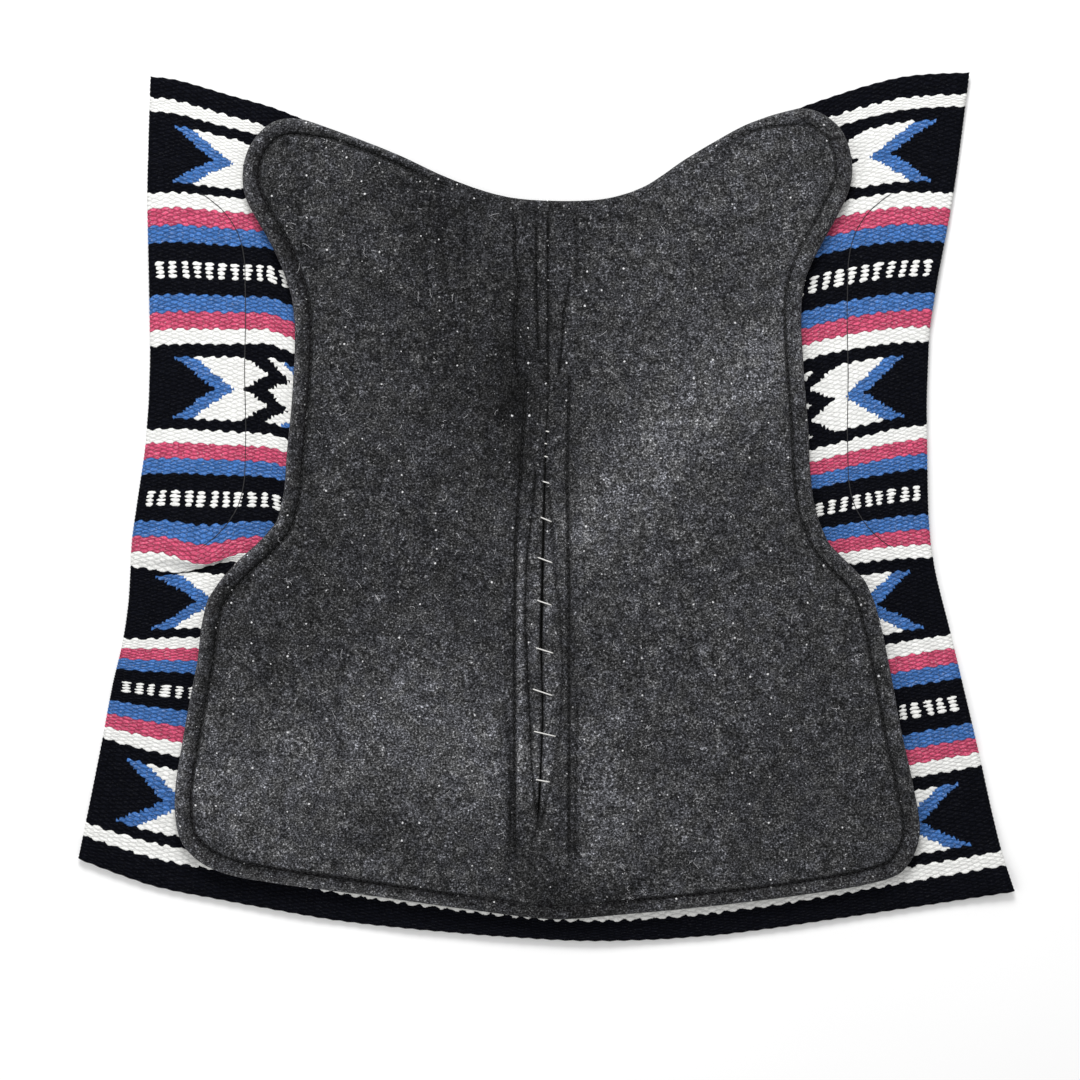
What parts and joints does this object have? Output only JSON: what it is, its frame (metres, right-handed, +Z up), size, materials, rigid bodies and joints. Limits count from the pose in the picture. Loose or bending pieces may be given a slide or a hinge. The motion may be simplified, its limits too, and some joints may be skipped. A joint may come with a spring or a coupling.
{
  "type": "contoured western saddle pad",
  "caption": "Contoured western saddle pad lying felt side up: woven wool blanket, wool felt liner with a laced spine slit, wear leathers, and flaps that fold up along the spine.",
  "frame": {"origin": "middle of the plan box, on the surface the pad lies on", "axes": "+X across the pad, +Y towards the withers (front), +Z up through the felt side"},
  "size_m": [0.91, 0.844, 0.0246],
  "materials": {
    "woven_wool": "weft-faced wool weave with black, white, pink and blue stripes",
    "felt": "charcoal pressed wool felt with pale flecks",
    "core_pad": "needled felt",
    "leather": "oiled, waxed edges",
    "black_thread": "bonded thread",
    "white_lace": "waxed thread"
  },
  "bodies": {
    "spine": {"blanket_spine_band": "woven_wool", "felt_spine_gusset": "felt", "spine_lace": "white_lace", "box_stitch": "black_thread", "withers_stitch": "black_thread", "withers_leather_middle": "leather", "spine_leather": "leather"},
    "left_flap": {"woven_blanket_left": "woven_wool", "core_left": "core_pad", "felt_liner_left": "felt", "rim_stitch_left": "black_thread", "wear_leather_left": "leather", "wear_stitch_left": "black_thread", "withers_leather_left": "leather"},
    "right_flap": {"woven_blanket_right": "woven_wool", "core_right": "core_pad", "felt_liner_right": "felt", "rim_stitch_right": "black_thread", "wear_leather_right": "leather", "wear_stitch_right": "black_thread", "withers_leather_right": "leather"}
  },
  "joints": [
    {"name": "left_fold", "type": "hinge", "parent": "spine", "child": "left_flap", "pos_m": [-0.0295, 0, 0.0215], "axis": [0, 1, 0], "range_deg": [0, 85]},
    {"name": "right_fold", "type": "hinge", "parent": "spine", "child": "right_flap", "pos_m": [0.0235, 0, 0.0215], "axis": [0, -1, 0], "range_deg": [0, 85]}
  ]
}
